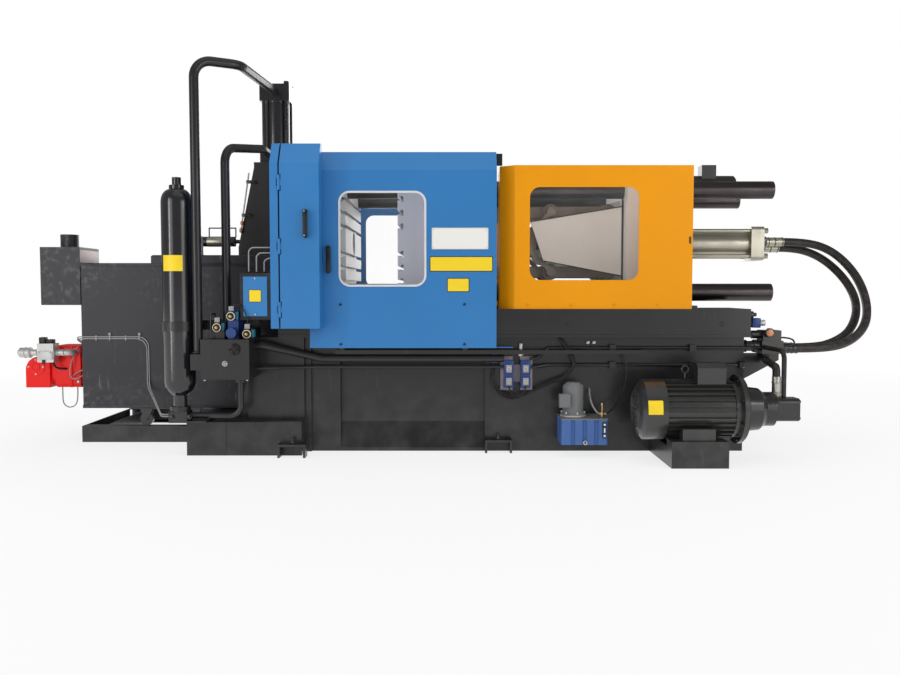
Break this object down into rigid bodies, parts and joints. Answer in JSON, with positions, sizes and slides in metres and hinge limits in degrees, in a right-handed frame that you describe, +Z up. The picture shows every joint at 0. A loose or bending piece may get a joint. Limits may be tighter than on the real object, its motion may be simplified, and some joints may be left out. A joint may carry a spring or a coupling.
{
  "type": "hot-chamber die casting machine",
  "caption": "Hot-chamber die casting machine with melting furnace, blue sliding door, yellow toggle guard, clamp cylinder and pump set.",
  "frame": {"origin": "on the floor under the clamp axis, at the camera's middle line", "axes": "+X from the furnace to the clamp cylinder, +Y to the rear of the machine, +Z up"},
  "size_m": [6.4488, 2.57, 2.738],
  "materials": {
    "machine_grey": "satin",
    "furnace_grey": "mottled satin",
    "burner_red": "gloss",
    "guard_blue": "satin",
    "guard_yellow": "satin",
    "tank_blue": "satin",
    "valve_blue": "satin",
    "platen_beige": "satin",
    "platen_grey": "satin",
    "motor_grey": "satin",
    "gloss_dark": "gloss",
    "black_steel": "satin",
    "link_iron": "machined",
    "tie_bar_steel": "polished dark",
    "cylinder_grey": "satin",
    "cast_aluminium": "cast",
    "black_plastic": "matte",
    "hose_black": "matte",
    "cable_grey": "matte",
    "lube_grey": "satin",
    "pair_pink": "satin",
    "clear_window": "clear polycarbonate"
  },
  "bodies": {
    "machine": {"bed_frame": "machine_grey", "bed_beams": "machine_grey", "left_plinth": "machine_grey", "anchor_feet": "machine_grey", "furnace_casing": "furnace_grey", "furnace_top_plate": "furnace_grey", "flue_box": "furnace_grey", "floor_rails": "machine_grey", "furnace_wheels": "black_steel", "burner_body": "burner_red", "gas_valve_train": "cast_aluminium", "injection_frame": "machine_grey", "injection_cylinder": "gloss_dark", "setting_cylinder": "gloss_dark", "accumulator_bottle": "gloss_dark", "accumulator_base": "machine_grey", "accumulator_clamp": "machine_grey", "manifold_block": "machine_grey", "manifold_valves": "black_steel", "cast_valve": "valve_blue", "pressure_pipes": "machine_grey", "side_cover_post": "guard_blue", "junction_box": "black_plastic", "junction_box_door": "guard_blue", "door_rails": "machine_grey", "toggle_guard": "guard_yellow", "toggle_guard_glass": "clear_window", "rear_toggle_guard": "guard_yellow", "rear_guard_glass": "clear_window", "rear_die_guard": "guard_blue", "fixed_platen": "platen_beige", "moving_platen": "platen_grey", "rear_platen": "platen_beige", "tie_bars": "tie_bar_steel", "toggle_links": "link_iron", "crosshead": "link_iron", "toggle_cheeks": "platen_beige", "gear_cover": "machine_grey", "clamp_cylinder": "cylinder_grey", "die_height_motor": "machine_grey", "motor_base": "machine_grey", "pump_motor": "motor_grey", "hydraulic_pump": "black_steel", "lube_tank": "tank_blue", "lube_motor": "lube_grey", "valve_pair": "valve_blue", "valve_pair_plate": "pair_pink", "end_manifold": "black_steel", "pump_lines": "hose_black", "base_pipes": "machine_grey", "fixed_cables": "cable_grey", "clamp_hose_outer": "hose_black", "clamp_hose_inner": "hose_black", "burner_cable_loop": "cable_grey"},
    "front_door": {"front_door_panel": "guard_blue", "front_door_glass": "clear_window", "front_door_handle": "black_plastic", "front_door_rollers": "black_steel"},
    "side_cover": {"side_cover_leaf": "guard_blue", "side_cover_handle": "black_plastic"}
  },
  "joints": [
    {"name": "front_door_slide", "type": "slide", "parent": "machine", "child": "front_door", "axis": [1, 0, 0], "range_m": [0, 1.2]},
    {"name": "side_cover_hinge", "type": "hinge", "parent": "machine", "child": "side_cover", "pos_m": [-1.134, -1.11, 1.4], "axis": [0, 0, -1], "range_deg": [0, 110]}
  ]
}
